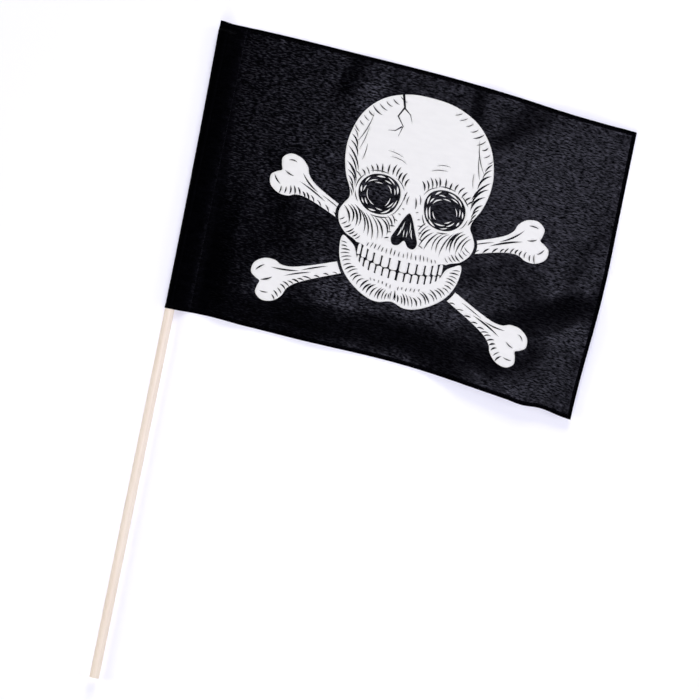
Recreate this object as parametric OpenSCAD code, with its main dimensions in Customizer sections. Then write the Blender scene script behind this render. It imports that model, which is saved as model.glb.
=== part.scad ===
// Pirate hand flag: a black polyester cloth, hemmed on three sides and sewn into a tunnel
// round a plain wooden stick, with a white skull and crossed bones printed on its face.
// It lies face up on the ground as it comes to rest, with the stick along Y and the cloth towards +X.

/* [Stick] */
// Diameter of the wooden stick
stick_d = 10; // [6:0.5:16]
// Length of the whole stick, most of it bare as the handle
stick_length = 676; // [500:5:800]
// Bevel on the two sawn ends
stick_bevel = 0.6; // [0.2:0.1:1.5]

/* [Cloth] */
// Reach of the cloth from the stick's axis to its free end
fly = 434; // [390:2:520]
// Width of the cloth along the stick
hoist = 300; // [280:2:400]
// Thickness of one layer of the cloth
cloth_thickness = 0.3; // [0.2:0.05:0.5]
// Width of the folded hem on the three free edges
hem = 4; // [3:0.5:8]
// Layers of cloth in the folded hem
hem_layers = 3; // [2:1:3]
// Sideways sag of the cloth's free end along the ground
droop = 27; // [0:1:40]
// How far the lower corner of the free end is pulled in
corner_tuck = 7.5; // [0:0.5:15]

/* [Tunnel] */
// Distance of the tunnel's seam from the stick's axis
seam_reach = 20; // [16:1:30]
// Cloth left past the seam, lying under the sheet
seam_allowance = 4; // [2:0.5:8]
// Play between the stick and the tunnel round it
stick_play = 0.15; // [0.1:0.05:0.5]
// Space between the end of the stick and the sewn end of the tunnel
stick_inset = 12; // [10:1:30]
// How far the slack of the tunnel stands out at its sewn end
end_flare = 3.5; // [1:0.5:4.5]

/* [Folds] */
// Height of the fold that slants up from the lower edge towards the free end
slant_fold = 8; // [0:0.5:10]
// Height of the swell that runs along the lower edge
foot_fold = 7.5; // [0:0.5:10]
// Height of the two folds that lean towards the lower end of the tunnel
tunnel_fold = 3; // [0:0.5:6]
// Height of the two folds that fan out towards the upper free corner
corner_fold = 3; // [0:0.5:6]

/* [Print] */
// Width of the printed skull, which sets the scale of the whole print
skull_width = 154; // [110:1:165]
// How far the print sits from the middle of the sheet, towards the free end
print_shift = -5; // [-20:1:20]
// Thickness of the layer of ink
print_thickness = 0.1; // [0.05:0.05:0.3]
// Slant of the crossed bones
bone_slant = 23; // [18:1:28]
// Black gap that sets the skull off from the bones behind it
outline_gap = 3.2; // [2:0.1:5]

/* [Hidden] */

// The tunnel round the stick
stick_r = stick_d / 2;
tunnel_r = stick_r + stick_play;
axis_z = cloth_thickness + tunnel_r;
tunnel_top = stick_length + stick_inset;
tunnel_foot = tunnel_top - hoist;
flat_left = -tunnel_r - end_flare;
// The two layers at the seam are held by thread and almost touch
layer_gap = 0.05;
upper_z = cloth_thickness + layer_gap;
// The upper layer leaves the stick on a straight line that meets the seam
seam_drop = axis_z - upper_z;
seam_distance = norm([seam_reach, seam_drop]);
leave_angle = acos(tunnel_r / seam_distance) - atan2(seam_drop, seam_reach);
arc_steps = 12;
slope_steps = 2;
// At the flat, sewn end the lower layer turns over into the upper one in this part of the arc
turn_start = 0.35;
turn_share = 0.3;

// Stations of the sheet along the fly, and rows along the hoist
hem_step = 0.3;
seam_step = 4;
sheet_start = seam_reach + seam_allowance + seam_step;
sheet_steps = 42;
hoist_steps = 14;
// Above 1, this crowds the rows towards the foot of the cloth, where its folds are steepest
row_exponent = 1.3;
sheet_end = fly - hem - hem_step;
sheet_xs = [
    for (i = [0:sheet_steps]) sheet_start + (sheet_end - sheet_start) * i / sheet_steps,
    fly - hem,
    fly
];
// The tunnel closes over the last rows, from just past the stick's end
end_clearance = 0.5;
close_start = hoist - stick_inset + end_clearance;
close_end = hoist - hem - hem_step;
rows = [
    0,
    hem,
    for (j = [0:hoist_steps])
        hem + hem_step + (close_start - hem - hem_step) * pow(j / hoist_steps, row_exponent),
    (close_start + close_end) / 2,
    close_end,
    hoist - hem,
    hoist
];

// The whole flag's box is centred on the origin, standing on the ground
middle_x = (fly + flat_left - cloth_thickness) / 2;
middle_y = tunnel_top / 2;

function clamp01(t) = max(0, min(1, t));
function ease(t) = let (c = clamp01(t)) c * c * (3 - 2 * c);
function mix(a, b, t) = a + (b - a) * t;

// One at t = 0, falling smoothly to zero at -1 and 1
function hump(t) = pow(cos(90 * max(-1, min(1, t))), 2);
function sum_to(list, n) = n == 0 ? 0 : list[n - 1] + sum_to(list, n - 1);

// How far up the hoist a point is
function up(y) = clamp01(y / hoist);

// The folds and edge waves are laid out on a cloth 434 by 300 and stretch with it
stretch = [fly / 434, hoist / 300];
// Lengths over which a fold rises out of the sheet, along its crest and beside the tunnel
fades = [60, 30];
// The fold nearest the tunnel stands this share of its neighbour's height
near_share = 0.75;
// Crest from start to end, reach of its left slope at both ends, reach of its right slope, height
folds = [
    [[290, -35], [460, 135], [130, 25], 120, slant_fold],
    [[-15, 35], [400, 55], [130, 130], 40, foot_fold],
    [[180, -25], [80, 195], [75, 20], 40, tunnel_fold],
    [[35, -40], [105, 115], [30, 40], 40, tunnel_fold * near_share],
    [[280, 210], [430, 365], [20, 65], 80, corner_fold],
    [[390, 95], [470, 215], [25, 75], 20, corner_fold]
];

function ridge(p, fold) =
    let (
        run = fold[1] - fold[0],
        crest = norm(run),
        ahead = (p - fold[0]) * run / crest,
        aside = cross(run, p - fold[0]) / crest,
        left_reach = mix(fold[2][0], fold[2][1], clamp01(ahead / crest)),
        side = hump(aside / (aside > 0 ? left_reach : fold[3]))
    )
    fold[4] * side * ease(ahead / fades[0]) * ease((crest - ahead) / fades[0]);

// Height of the cloth's underside over the ground
function height(x, y) =
    let (p = [x / stretch[0], y / stretch[1]])
    ease((x - seam_reach - seam_allowance) / fades[1] / stretch[0])
    * sum_to([for (fold = folds) ridge(p, fold)], len(folds));

// The free end sags along this curve, a little more at the lower edge than at the upper one
sag_exponent = 1.6;
foot_sag = 2;
// Waves of the long edges: place along the fly, half width and rise, at the foot and at the top
belly = [250, 130];
belly_rise = [3.5, 1.3];
foot_waves = [[402, 25, 1.8], [378, 20, -0.9], [40, 40, 1.1]];
foot_share = 0.3;
top_waves = [[434, 34, 1], [365, 60, -0.9]];
top_share = 0.2;

function waves(list, place) =
    sum_to([for (wave = list) wave[2] * hump((place - wave[0]) / wave[1])], len(list));

// Where a point of the flat cloth lies once the free end has sagged and its corner is pulled in
function sag(x, y) =
    let (place = x / stretch[0], s = up(y))
    (droop + foot_sag * (1 - s)) * pow(clamp01(x / fly), sag_exponent)
    - mix(belly_rise[0], belly_rise[1], s) * hump((place - belly[0]) / belly[1])
    - waves(foot_waves, place) * ease(1 - s / foot_share)
    - waves(top_waves, place) * ease(s - top_share);
corner_share = 0.53;
tuck_exponent = 3;
function tuck(x, y) = corner_tuck * ease(1 - up(y) / corner_share) * pow(clamp01(x / fly), tuck_exponent);
function laid(p) = [p[0] - tuck(p[0], p[1]), tunnel_foot + p[1] - sag(p[0], p[1])];

// The cloth's slope along the fly, as a unit normal
lean_step = 1;
function lean(x, y) =
    let (rise = height(x + lean_step / 2, y) - height(x - lean_step / 2, y))
    [-rise, lean_step] / norm([-rise, lean_step]);

// One station of the tunnel: inner face and outward normal, round at closing = 0, flat at closing = 1
function tunnel_station(round_point, round_normal, flat_point, flat_normal, closing) =
    let (n = mix(round_normal, flat_normal, closing))
    [mix(round_point, flat_point, closing), n / norm(n)];

function arc_station(step, closing, slack) =
    let (
        t = step / arc_steps,
        a = mix(-90, leave_angle - 360, t),
        side = [cos(a), sin(a)],
        reach = [side[0] < 0 ? tunnel_r + slack : tunnel_r, tunnel_r],
        turn = ease((t - turn_start) / turn_share),
        flat_x = t < 0.5 ? mix(0, flat_left, ease(t * 2)) : mix(flat_left, 0, ease(t * 2 - 1)),
        flat_z = mix(cloth_thickness, upper_z, turn),
        fold_side = [-sin(180 * turn), -cos(180 * turn)]
    )
    tunnel_station(
        [reach[0] * side[0], axis_z + reach[1] * side[1]],
        side,
        [flat_x, flat_z],
        fold_side,
        closing
    );

// From the point where the upper layer leaves the stick down to the seam
function slope_station(step, closing) =
    let (
        t = step / slope_steps,
        leave = [0, axis_z] + tunnel_r * [cos(leave_angle), sin(leave_angle)],
        seam = [seam_reach, upper_z],
        run = seam - leave,
        normal = step == slope_steps ? [0, 1] : [-run[1], run[0]] / norm(run)
    )
    tunnel_station(mix(leave, seam, t), normal, [mix(0, seam_reach, t), upper_z], [0, 1], closing);

// One row of the cloth from the hidden edge under the seam, round the stick and out to the free end.
// Each station holds its place in the flat cloth, its height, its normal and its thickness
function row(y, closing) =
    let (
        in_hem = y <= hem || y >= hoist - hem,
        t = cloth_thickness,
        slack = end_flare * up(y) * up(y),
        under = [for (x = [seam_reach + seam_allowance, seam_reach, seam_reach / 2]) [x, t, 0, -1, t]],
        around = [
            for (k = [0:arc_steps])
                let (p = arc_station(k, closing, slack))
                [p[0][0], p[0][1], p[1][0], p[1][1], t]
        ],
        down = [
            for (k = [1:slope_steps])
                let (p = slope_station(k, closing))
                [p[0][0], p[0][1], p[1][0], p[1][1], t]
        ],
        over = [[seam_reach + seam_allowance, upper_z, 0, 1, t]],
        sheet = [
            for (x = sheet_xs)
                let (n = lean(x, y), thick = in_hem || x >= fly - hem)
                [x, height(x, y), n[0], n[1], thick ? t * hem_layers : t]
        ]
    )
    concat(under, around, down, over, sheet);

// A station's point on the cloth's inner face, or further out along its normal
function cloth_point(station, y, out) =
    let (flat = laid([station[0], y]))
    [flat[0] + station[2] * out, flat[1], station[1] + station[3] * out];

function closing(y) = ease((y - close_start) / (close_end - close_start));

// Faces of a slab given as inner points, then outer points, each rows * stations long
function slab_faces(stations, lines) =
    let (
        n = stations * lines,
        at = function(i, j, outer) j * stations + i + (outer ? n : 0),
        end = stations - 1,
        top = lines - 1
    )
    concat(
        [
            for (j = [0:lines - 2]) for (i = [0:stations - 2])
                each [
                    [at(i, j, true), at(i, j + 1, true), at(i + 1, j + 1, true)],
                    [at(i, j, true), at(i + 1, j + 1, true), at(i + 1, j, true)],
                    [at(i, j, false), at(i + 1, j + 1, false), at(i, j + 1, false)],
                    [at(i, j, false), at(i + 1, j, false), at(i + 1, j + 1, false)]
                ]
        ],
        [
            for (i = [0:stations - 2])
                each [
                    [at(i, 0, false), at(i, 0, true), at(i + 1, 0, true)],
                    [at(i, 0, false), at(i + 1, 0, true), at(i + 1, 0, false)],
                    [at(i, top, false), at(i + 1, top, true), at(i, top, true)],
                    [at(i, top, false), at(i + 1, top, false), at(i + 1, top, true)]
                ]
        ],
        [
            for (j = [0:lines - 2])
                each [
                    [at(0, j, false), at(0, j + 1, true), at(0, j, true)],
                    [at(0, j, false), at(0, j + 1, false), at(0, j + 1, true)],
                    [at(end, j, false), at(end, j, true), at(end, j + 1, true)],
                    [at(end, j, false), at(end, j + 1, true), at(end, j + 1, false)]
                ]
        ]
    );

module slab(inner, outer) {
    polyhedron(
        points = concat([for (line = inner) each line], [for (line = outer) each line]),
        faces = slab_faces(len(inner[0]), len(inner)),
        convexity = 10
    );
}

stick_sides = 64;
module stick() {
    color("#f2e5db")
    translate([-middle_x, -middle_y, axis_z])
    rotate([-90, 0, 0])
    rotate_extrude($fn = stick_sides)
    polygon([
        [0, 0],
        [stick_r - stick_bevel, 0],
        [stick_r, stick_bevel],
        [stick_r, stick_length - stick_bevel],
        [stick_r - stick_bevel, stick_length],
        [0, stick_length]
    ]);
}

module flag_cloth() {
    inner = [for (y = rows) let (line = row(y, closing(y))) [for (p = line) cloth_point(p, y, 0)]];
    outer = [for (y = rows) let (line = row(y, closing(y))) [for (p = line) cloth_point(p, y, p[4])]];
    color("#15151b")
    translate([-middle_x, -middle_y, 0])
    slab(inner, outer);
}

// The print: outlines of the right half, drawn on a skull 151 wide, from the top down.
// They are mirrored, rounded by a curve through their points, and laid on the cloth
print_scale = skull_width / 151;
print_reach = (seam_reach + fly) / 2 + print_shift;
print_rise = 10 * print_scale;
print_middle = [print_reach, hoist / 2 + print_rise];
// The ink is cut out of a slab that reaches this far to both sides of the print's middle
slab_reach = 162 * print_scale;
ink_gap = 0.02;
cutter_height = 60;
bones_crossing = [0, -52];
skull_half = [
    [0, 112], [26, 109.5], [50, 99], [67, 80], [75, 56], [75.5, 36], [71, 17], [64.5, 4], [63, -5],
    [67, -12], [70.5, -21], [68, -32], [60, -41], [50, -45.5], [43, -51], [39.5, -57], [26, -59],
    [0, -60.5]
];
jaw_half = [
    [0, -76.5], [25, -74], [36, -70], [43, -63], [47.5, -53], [55, -47], [61.5, -44], [63, -52],
    [60.5, -66], [54, -79], [43, -90], [28, -99], [14, -102], [0, -98.5]
];
mouth_half = [[0, -56], [28, -54], [43, -48], [50, -50], [47, -62], [38, -73], [26, -78], [0, -80]];
eye = [[12.5, 6], [17, 19], [30, 25], [45, 22.5], [54.5, 12], [54, -2], [45, -12.5], [31, -15.5], [18, -10]];
nose_half = [[0, -7], [4.5, -13], [9.5, -25], [13.5, -35], [11, -41.5], [5, -41], [0, -35.5]];
bone_quarter = [
    [60, 6.2], [104, 7.5], [120, 11.5], [127, 18], [137, 21.5], [148, 19], [153, 11], [150, 4.5],
    [146.5, 0]
];
// Widths of the teeth from the middle outwards, with the heights of their roots and biting edges
upper_teeth = [9.4, 8.2, 8, 7, 6, 4.8];
upper_ends = [-54, -66.8];
lower_teeth = [7.2, 7, 7.2, 6.6, 5.8, 4.6];
lower_ends = [-79.5, -68];
tooth_gap = 1;
// A tooth's width at its root and edge, and the height of its widest part, as shares of the whole
root_share = 0.8;
edge_share = 0.6;
widest_share = 0.7;
// The rows of teeth curve upwards to both sides, the gums less than the bite
bite_ratio = 0.0042;
gum_share = 0.7;

function reversed(list) = [for (i = [len(list) - 1:-1:0]) list[i]];
function mirrored(list) = [for (p = reversed(list)) [-p[0], p[1]]];
function both_halves(half) = concat(half, [for (p = mirrored(half)) if (p[0] != 0) p]);
function whole_bone(quarter) =
    let (end = concat(quarter, [for (p = reversed(quarter)) if (p[1] != 0) [p[0], -p[1]]]))
    concat(end, [for (p = end) -p]);
function turned(list, a) = [for (p = list) [p[0] * cos(a) - p[1] * sin(a), p[0] * sin(a) + p[1] * cos(a)]];
function shifted(list, v) = [for (p = list) p + v];

// A smooth closed curve through the points, with some steps between each two of them
function rounded(list, steps) =
    let (n = len(list))
    [
        for (i = [0:n - 1]) for (k = [0:steps - 1])
            let (
                t = k / steps,
                a = list[(i + n - 1) % n],
                b = list[i],
                c = list[(i + 1) % n],
                d = list[(i + 2) % n],
                bend = 2 * a - 5 * b + 4 * c - d,
                twist = 3 * b - a - 3 * c + d
            )
            (2 * b + (c - a) * t + bend * t * t + twist * t * t * t) / 2
    ];

// A tooth from its root to its biting edge
function tooth(x, root, edge, w) =
    let (h = w / 2)
    [
        [x - h * root_share, root],
        [x - h, mix(root, edge, widest_share)],
        [x - h * edge_share, edge],
        [x + h * edge_share, edge],
        [x + h, mix(root, edge, widest_share)],
        [x + h * root_share, root]
    ];
function bite(x) = bite_ratio * x * x;

// An outline on the print, laid on the cloth
module field(outline) {
    polygon([for (p = outline) laid(print_middle + print_scale * p)]);
}

module pair(outline) {
    field(outline);
    field(mirrored(outline));
}

module teeth(widths, ends) {
    for (i = [0:len(widths) - 1]) {
        x = tooth_gap / 2 + sum_to(widths, i) + widths[i] / 2;
        pair(tooth(x, ends[0] + bite(x) * gum_share, ends[1] + bite(x), widths[i] - tooth_gap));
    }
}

module bones() {
    for (side = [-1, 1])
        field(shifted(turned(rounded(whole_bone(bone_quarter), 2), side * bone_slant), bones_crossing));
}

module skull_and_bones() {
    difference() {
        bones();
        offset(delta = outline_gap * print_scale) {
            field(rounded(both_halves(skull_half), 3));
            field(rounded(both_halves(jaw_half), 2));
        }
    }
    difference() {
        field(rounded(both_halves(skull_half), 3));
        pair(rounded(eye, 2));
        field(rounded(both_halves(nose_half), 2));
        field(rounded(both_halves(mouth_half), 2));
    }
    field(rounded(both_halves(jaw_half), 2));
    teeth(upper_teeth, upper_ends);
    teeth(lower_teeth, lower_ends);
}

module skull_print() {
    print_xs = [for (x = sheet_xs) if (abs(x - print_reach) < slab_reach) x];
    print_rows = [for (y = rows) if (y > hem && y <= close_start) y];
    stations = function(y) [for (x = print_xs) let (n = lean(x, y)) [x, height(x, y), n[0], n[1]]];
    under = cloth_thickness + ink_gap;
    inner = [for (y = print_rows) [for (p = stations(y)) cloth_point(p, y, under)]];
    outer = [for (y = print_rows) [for (p = stations(y)) cloth_point(p, y, under + print_thickness)]];
    color("#f3f2f6")
    translate([-middle_x, -middle_y, 0])
    intersection() {
        slab(inner, outer);
        linear_extrude(height = cutter_height) skull_and_bones();
    }
}

stick();
flag_cloth();
skull_print();
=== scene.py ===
# %% [markdown]
# # A pirate hand flag
# The object is a thin black polyester cloth on a plain wooden stick. The cloth is hemmed on three
# sides, its fourth side is a sewn tunnel that holds the stick, and a white skull with crossed bones is
# printed on its face. It lies on a white table and the camera looks straight down on it.
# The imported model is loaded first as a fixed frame: everything below takes its place and size from it.

# %% Load the frame
import math
import bpy
import numpy as np
from mathutils.geometry import delaunay_2d_cdt
from mathutils.kdtree import KDTree
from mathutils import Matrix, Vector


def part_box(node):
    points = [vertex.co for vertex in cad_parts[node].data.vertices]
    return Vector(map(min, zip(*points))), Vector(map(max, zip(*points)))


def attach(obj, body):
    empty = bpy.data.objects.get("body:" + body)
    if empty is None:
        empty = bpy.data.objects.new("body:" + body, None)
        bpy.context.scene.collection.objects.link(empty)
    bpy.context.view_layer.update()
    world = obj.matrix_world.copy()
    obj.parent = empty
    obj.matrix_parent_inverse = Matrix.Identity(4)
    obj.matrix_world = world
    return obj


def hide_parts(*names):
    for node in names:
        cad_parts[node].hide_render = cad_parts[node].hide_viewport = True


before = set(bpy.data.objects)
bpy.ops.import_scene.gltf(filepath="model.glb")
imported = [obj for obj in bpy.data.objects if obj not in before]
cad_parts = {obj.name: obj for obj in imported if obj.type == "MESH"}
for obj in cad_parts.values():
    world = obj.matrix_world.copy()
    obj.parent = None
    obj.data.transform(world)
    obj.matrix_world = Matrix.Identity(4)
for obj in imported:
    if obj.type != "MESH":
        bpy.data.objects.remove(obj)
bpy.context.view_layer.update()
MM = 0.001
print("frame nodes:", sorted(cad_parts))

# %% [markdown]
# ## The flag's own measures
# A flag is easiest to describe in its maker's measures: millimetres out from the stick's axis and up
# from the cloth's lower corner. The frame says where the stick and the cloth are, so only the sewing
# sizes are written here. One function turns these measures into Blender's metres.

# %% Sizes
stick_low, stick_high = (np.array(corner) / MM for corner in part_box("stick"))
cloth_high = np.array(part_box("flag_cloth")[1]) / MM
AXIS_X = (stick_low[0] + stick_high[0]) / 2
AXIS_Z = (stick_low[2] + stick_high[2]) / 2
STICK_R = (stick_high[0] - stick_low[0]) / 2
HOIST = 300.0
FOOT_Y = cloth_high[1] - HOIST
FLY = cloth_high[0] - AXIS_X
CLEAR = AXIS_Z - STICK_R

LAYER = 0.2  # thickness of the cloth
REST = 0.1  # air between the cloth and the table
HEM = 4.0  # width of the hems, which hold three layers
HEM_LAYERS = 3
SEAM = 20.0  # from the stick's axis to the tunnel's seam
ALLOWANCE = 4.0  # hidden cloth beyond that seam
STICK_END = stick_high[1] - FOOT_Y


def put(name, data):
    """A new object in the scene."""
    thing = bpy.data.objects.new(name, data)
    bpy.context.scene.collection.objects.link(thing)
    return thing


def to_world(points):
    """Millimetres from the stick's axis and the cloth's foot, to metres in the frame."""
    return (points + np.array([AXIS_X, FOOT_Y, 0.0])) * MM


print(f"stick {2 * STICK_R:.1f} mm thick, cloth {FLY:.0f} mm out from it, stick ends at {STICK_END:.0f} mm")

# %% [markdown]
# ## Camera, table and light
# The photo is taken straight down through a long lens, with the flag turned a little clockwise. The
# table is round and pure white, and so is all that the camera sees past it. Four large softboxes light
# the table evenly. A small one high above the cloth is the only one that shines on it: thin black cloth
# shows its folds only by the sheen that such a lamp leaves on the slopes that face it.

# %% Camera
PHOTO_PIXELS = 700
MM_PER_PIXEL = 1 / 0.9707
PHOTO_TURN = math.radians(11.6)
PHOTO_CENTRE = (190.2, -4.5)
LENS_DISTANCE = 6.0

camera_data = bpy.data.cameras.new("camera")
camera_data.sensor_width = 36.0
camera_data.lens = camera_data.sensor_width * LENS_DISTANCE / (PHOTO_PIXELS * MM_PER_PIXEL * MM)
camera_data.clip_end = 50.0
camera = put("camera", camera_data)
centre = to_world(np.array([[PHOTO_CENTRE[0], PHOTO_CENTRE[1], 0.0]]))[0]
camera.location = (centre[0], centre[1], LENS_DISTANCE)
camera.rotation_euler = (0.0, 0.0, PHOTO_TURN)
bpy.context.scene.camera = camera
print(f"lens {camera_data.lens:.0f} mm from {LENS_DISTANCE} m")

# %% Table and lamps
TABLE_RADIUS = 0.8
TABLE_CORNERS = 128
KEY_PLACE = (0.24, 0.15, 1.4)
KEY_SIZE, KEY_WATTS = 0.45, 10.5
KEY_COLOUR = (0.76, 0.75, 1.0)
FILL_SIZE = 1.0
FILLS = {
    "left": ((-2.0, -0.3, 1.1), 18.0),
    "right": ((2.1, 0.2, 1.2), 14.0),
    "far": ((0.1, 2.2, 1.1), 30.0),
    "near": ((-0.1, -2.2, 1.1), 30.0),
}


def new_material(name):
    """A node material and its Principled shader."""
    material = bpy.data.materials.new(name)
    material.use_nodes = True
    return material, next(n for n in material.node_tree.nodes if n.type == "BSDF_PRINCIPLED")


def set_inputs(shader, values):
    for name, value in values.items():
        shader.inputs[name].default_value = value


def table():
    material, shader = new_material("white_table")
    set_inputs(shader, {"Base Color": (1.0, 1.0, 1.0, 1.0), "Roughness": 1.0, "Specular IOR Level": 0.0})
    turns = np.arange(TABLE_CORNERS) * 2 * math.pi / TABLE_CORNERS
    rim = [(TABLE_RADIUS * math.cos(a), TABLE_RADIUS * math.sin(a), 0.0) for a in turns]
    mesh = bpy.data.meshes.new("table")
    mesh.from_pydata(rim, [], [tuple(range(TABLE_CORNERS))])
    mesh.materials.append(material)
    put("table", mesh)


def backdrop():
    """White behind the table for the camera alone, with no light of its own."""
    world = bpy.data.worlds.new("studio")
    world.use_nodes = True
    nodes = world.node_tree.nodes
    set_inputs(nodes["Background"], {"Color": (1.0, 1.0, 1.0, 1.0)})
    camera_ray = nodes.new("ShaderNodeLightPath").outputs["Is Camera Ray"]
    world.node_tree.links.new(camera_ray, nodes["Background"].inputs["Strength"])
    bpy.context.scene.world = world


def softbox(name, place, size, watts, colour=(1.0, 1.0, 1.0), sheen=False):
    """A square lamp aimed at the middle of the flag. Only the one for the sheen shows in what shines,
    and it casts no shadow, as its tint would show on the table."""
    data = bpy.data.lights.new(name, "AREA")
    data.shape = "SQUARE"
    data.size = size
    data.energy = watts
    data.color = colour
    data.use_shadow = not sheen
    lamp = put(name, data)
    lamp.location = place
    lamp.rotation_euler = (-lamp.location).to_track_quat("-Z", "Y").to_euler()
    lamp.visible_glossy = sheen


table()
softbox("softbox_key", KEY_PLACE, KEY_SIZE, KEY_WATTS, KEY_COLOUR, sheen=True)
for side, (place, watts) in FILLS.items():
    softbox(f"softbox_{side}", place, FILL_SIZE, watts)
backdrop()
bpy.context.scene.view_settings.view_transform = "Standard"

# %% [markdown]
# ## How the cloth lies
# The cloth's free end sags sideways on the table, its lower corner is pulled in, and a few soft folds
# stand a few millimetres high. Each fold is a ridge along a line: its height fades to both sides as a
# cosine and at both ends as an ease curve. A list of such lines describes this cloth as it lies, and
# is far lighter than a simulation that would have to be steered to the same folds.

# %% Curves used for soft shapes
def ease(t):
    """Zero up to t = 0 and one from t = 1, with a smooth step between them."""
    c = np.clip(t, 0.0, 1.0)
    return c * c * (3 - 2 * c)


def mix(a, b, t):
    return a + (b - a) * t


def unit(vectors):
    return vectors / np.linalg.norm(vectors, axis=-1, keepdims=True)


def hump(t):
    """One at t = 0, falling smoothly to zero at -1 and 1."""
    return np.cos(np.pi / 2 * np.clip(t, -1.0, 1.0)) ** 2


# %% Folds of the sheet
# Each ridge: start, end, reach to its left at the start and at the end, reach to its right, height,
# and the length over which it fades in and out
RIDGES = [
    ((285, -40), (460, 135), 90, 25, 120, 9.0, 60),
    ((-15, 35), (400, 62), 130, 120, 48, 9.0, 60),
    ((180, -25), (80, 195), 75, 20, 40, 3.0, 60),
    ((35, -40), (105, 115), 30, 40, 40, 2.2, 60),
    ((300, 115), (270, 350), 20, 20, 50, 2.0, 60),
    ((280, 210), (430, 365), 20, 65, 80, 3.0, 60),
    ((130, 230), (160, 315), 20, 20, 30, 1.8, 40),
    ((390, 95), (470, 215), 25, 75, 20, 3.0, 60),
    ((320, -15), (480, -15), 60, 80, 20, 4.0, 60),
]
FREE_REACH = 30  # the folds rise over this length beside the tunnel
# How far the free end slips down the table, how far its lower corner is drawn in
DROOP_FOOT = 29.0
DROOP_TOP = 27.0
DROOP_POWER = 1.6
CORNER_TUCK = 7.7
CORNER_REACH = 158.0
FLY_STRETCH = 0.3
# The edges' waves in plan: depth, place along the fly, reach to both sides
BELLY_FOOT, BELLY_TOP = 3.5, 1.3
BELLY_AT, BELLY_REACH = 250, 130
FOOT_WAVES = ((1.8, 402, 25), (-0.9, 378, 20), (1.1, 40, 40))
FOOT_WAVES_UP_TO = 90
TOP_STEP = (1.0, 400, 34)
TOP_WAVE = (0.9, 365, 60)
END_LIFT, END_REACH = 1.4, 14
# Each crossing wave of the ripple: wavelength along and up, phase
RIPPLES = ((31, 17, 0.4), (47, -29, 2.1), (-23, 61, 4.0), (71, 43, 5.2))
RIPPLE_HEIGHT = 0.1
# The hems' creases: height, reach from the edge; then pitch, wander, bend, swell and shift of their waves
HEM_PUCKER, HEM_PUCKER_REACH = 0.3, 8.0
HEM_CREASES = (11.0, 1.7, 23.0, 61.0, 0.6)
END_PUCKER, END_PUCKER_REACH = 0.25, 7.0
END_CREASES = (12.0, 1.5, 19.0, 53.0, 0.0)


def ridge_height(x, y, start, end, left_start, left_end, right, height, fade):
    """Height of one fold at a place of the sheet."""
    run = np.subtract(end, start)
    length = math.hypot(*run)
    ahead = ((x - start[0]) * run[0] + (y - start[1]) * run[1]) / length
    aside = ((y - start[1]) * run[0] - (x - start[0]) * run[1]) / length
    left = mix(left_start, left_end, np.clip(ahead / length, 0, 1))
    across = hump(aside / np.where(aside > 0, left, right))
    return height * across * ease(ahead / fade) * ease((length - ahead) / fade)


def ripple(x, y):
    """Fine unevenness that any thin cloth keeps: crossing waves, up to 0.4 mm high."""
    total = sum(np.sin(2 * np.pi * (x / a + y / b) + c) for a, b, c in RIPPLES)
    return RIPPLE_HEIGHT * (total + len(RIPPLES)) / 2


def creases(along, pitch, wander, bend, swell, shift):
    """Short waves along an edge whose pitch wanders and whose height comes and goes."""
    wave = np.sin(2 * np.pi * along / pitch + wander * np.sin(along / bend))
    return wave * np.sin(along / swell + shift) ** 2


def pucker(x, y):
    """Where the hem's thread draws the cloth in: creases across the hem, highest at the edge."""
    at_hem = np.exp(-np.minimum(HOIST - y, y) / HEM_PUCKER_REACH)
    at_end = np.exp(-(FLY - x) / END_PUCKER_REACH)
    along_hem = HEM_PUCKER * (1 + creases(x, *HEM_CREASES)) * at_hem
    return along_hem + END_PUCKER * (1 + creases(y, *END_CREASES)) * at_end


def sheet_height(x, y):
    """How far the sheet stands off the table."""
    free = ease((x - SEAM - ALLOWANCE) / FREE_REACH)
    folds = sum(ridge_height(x, y, *ridge) for ridge in RIDGES)
    return free * (folds + ripple(x, y) + pucker(x, y))


def sag(x, y):
    """How far the free end has slipped down the table, with the small waves of its edges."""
    up = np.clip(y / HOIST, 0, 1)
    slip = mix(DROOP_FOOT, DROOP_TOP, up) * np.clip(x / FLY, 0, 1) ** DROOP_POWER
    belly = mix(BELLY_FOOT, BELLY_TOP, up) * hump((x - BELLY_AT) / BELLY_REACH)
    foot_waves = sum(depth * hump((x - at) / reach) for depth, at, reach in FOOT_WAVES)
    step, step_at, step_reach = TOP_STEP
    wave, wave_at, wave_reach = TOP_WAVE
    top_wave = step * ease((x - step_at) / step_reach) - wave * hump((x - wave_at) / wave_reach)
    end_lift = END_LIFT * ease(-x / END_REACH + 0.5) * ease(3 * up - 2)
    return slip - belly - foot_waves * ease(1 - y / FOOT_WAVES_UP_TO) - top_wave * ease(up - 0.2) - end_lift


def tuck(x, y):
    """How far the free end is drawn in towards the stick, most at its lower corner."""
    return (CORNER_TUCK * ease(1 - y / CORNER_REACH) - FLY_STRETCH) * np.clip(x / FLY, 0, 1) ** 3


# %% [markdown]
# ## The tunnel round the stick
# At the hoist the cloth is folded over the stick and sewn to itself 20 mm away. Laid down, its lower
# layer is flat on the table, it hugs the stick, and the upper layer runs down to the seam in a curve.
# The tunnel's section is worked out from the stick's radius and the seam's distance, so that the cloth
# touches neither wood nor table. Past the end of the stick it closes to a flat, sewn end.

# %% The path of the cloth round the stick
TUNNEL_R = STICK_R + CLEAR / 3  # the cloth's inner face, with air round the wood
SEAM_GAP = 0.05  # between the two layers at the seam
UNDER_Z = AXIS_Z - TUNNEL_R
OVER_Z = UNDER_Z + SEAM_GAP
LEAVE = math.radians(50)  # where the upper layer leaves the stick, over its axis
SEAM_SLOPE = math.radians(5)  # of the upper layer where it reaches the seam


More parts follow.
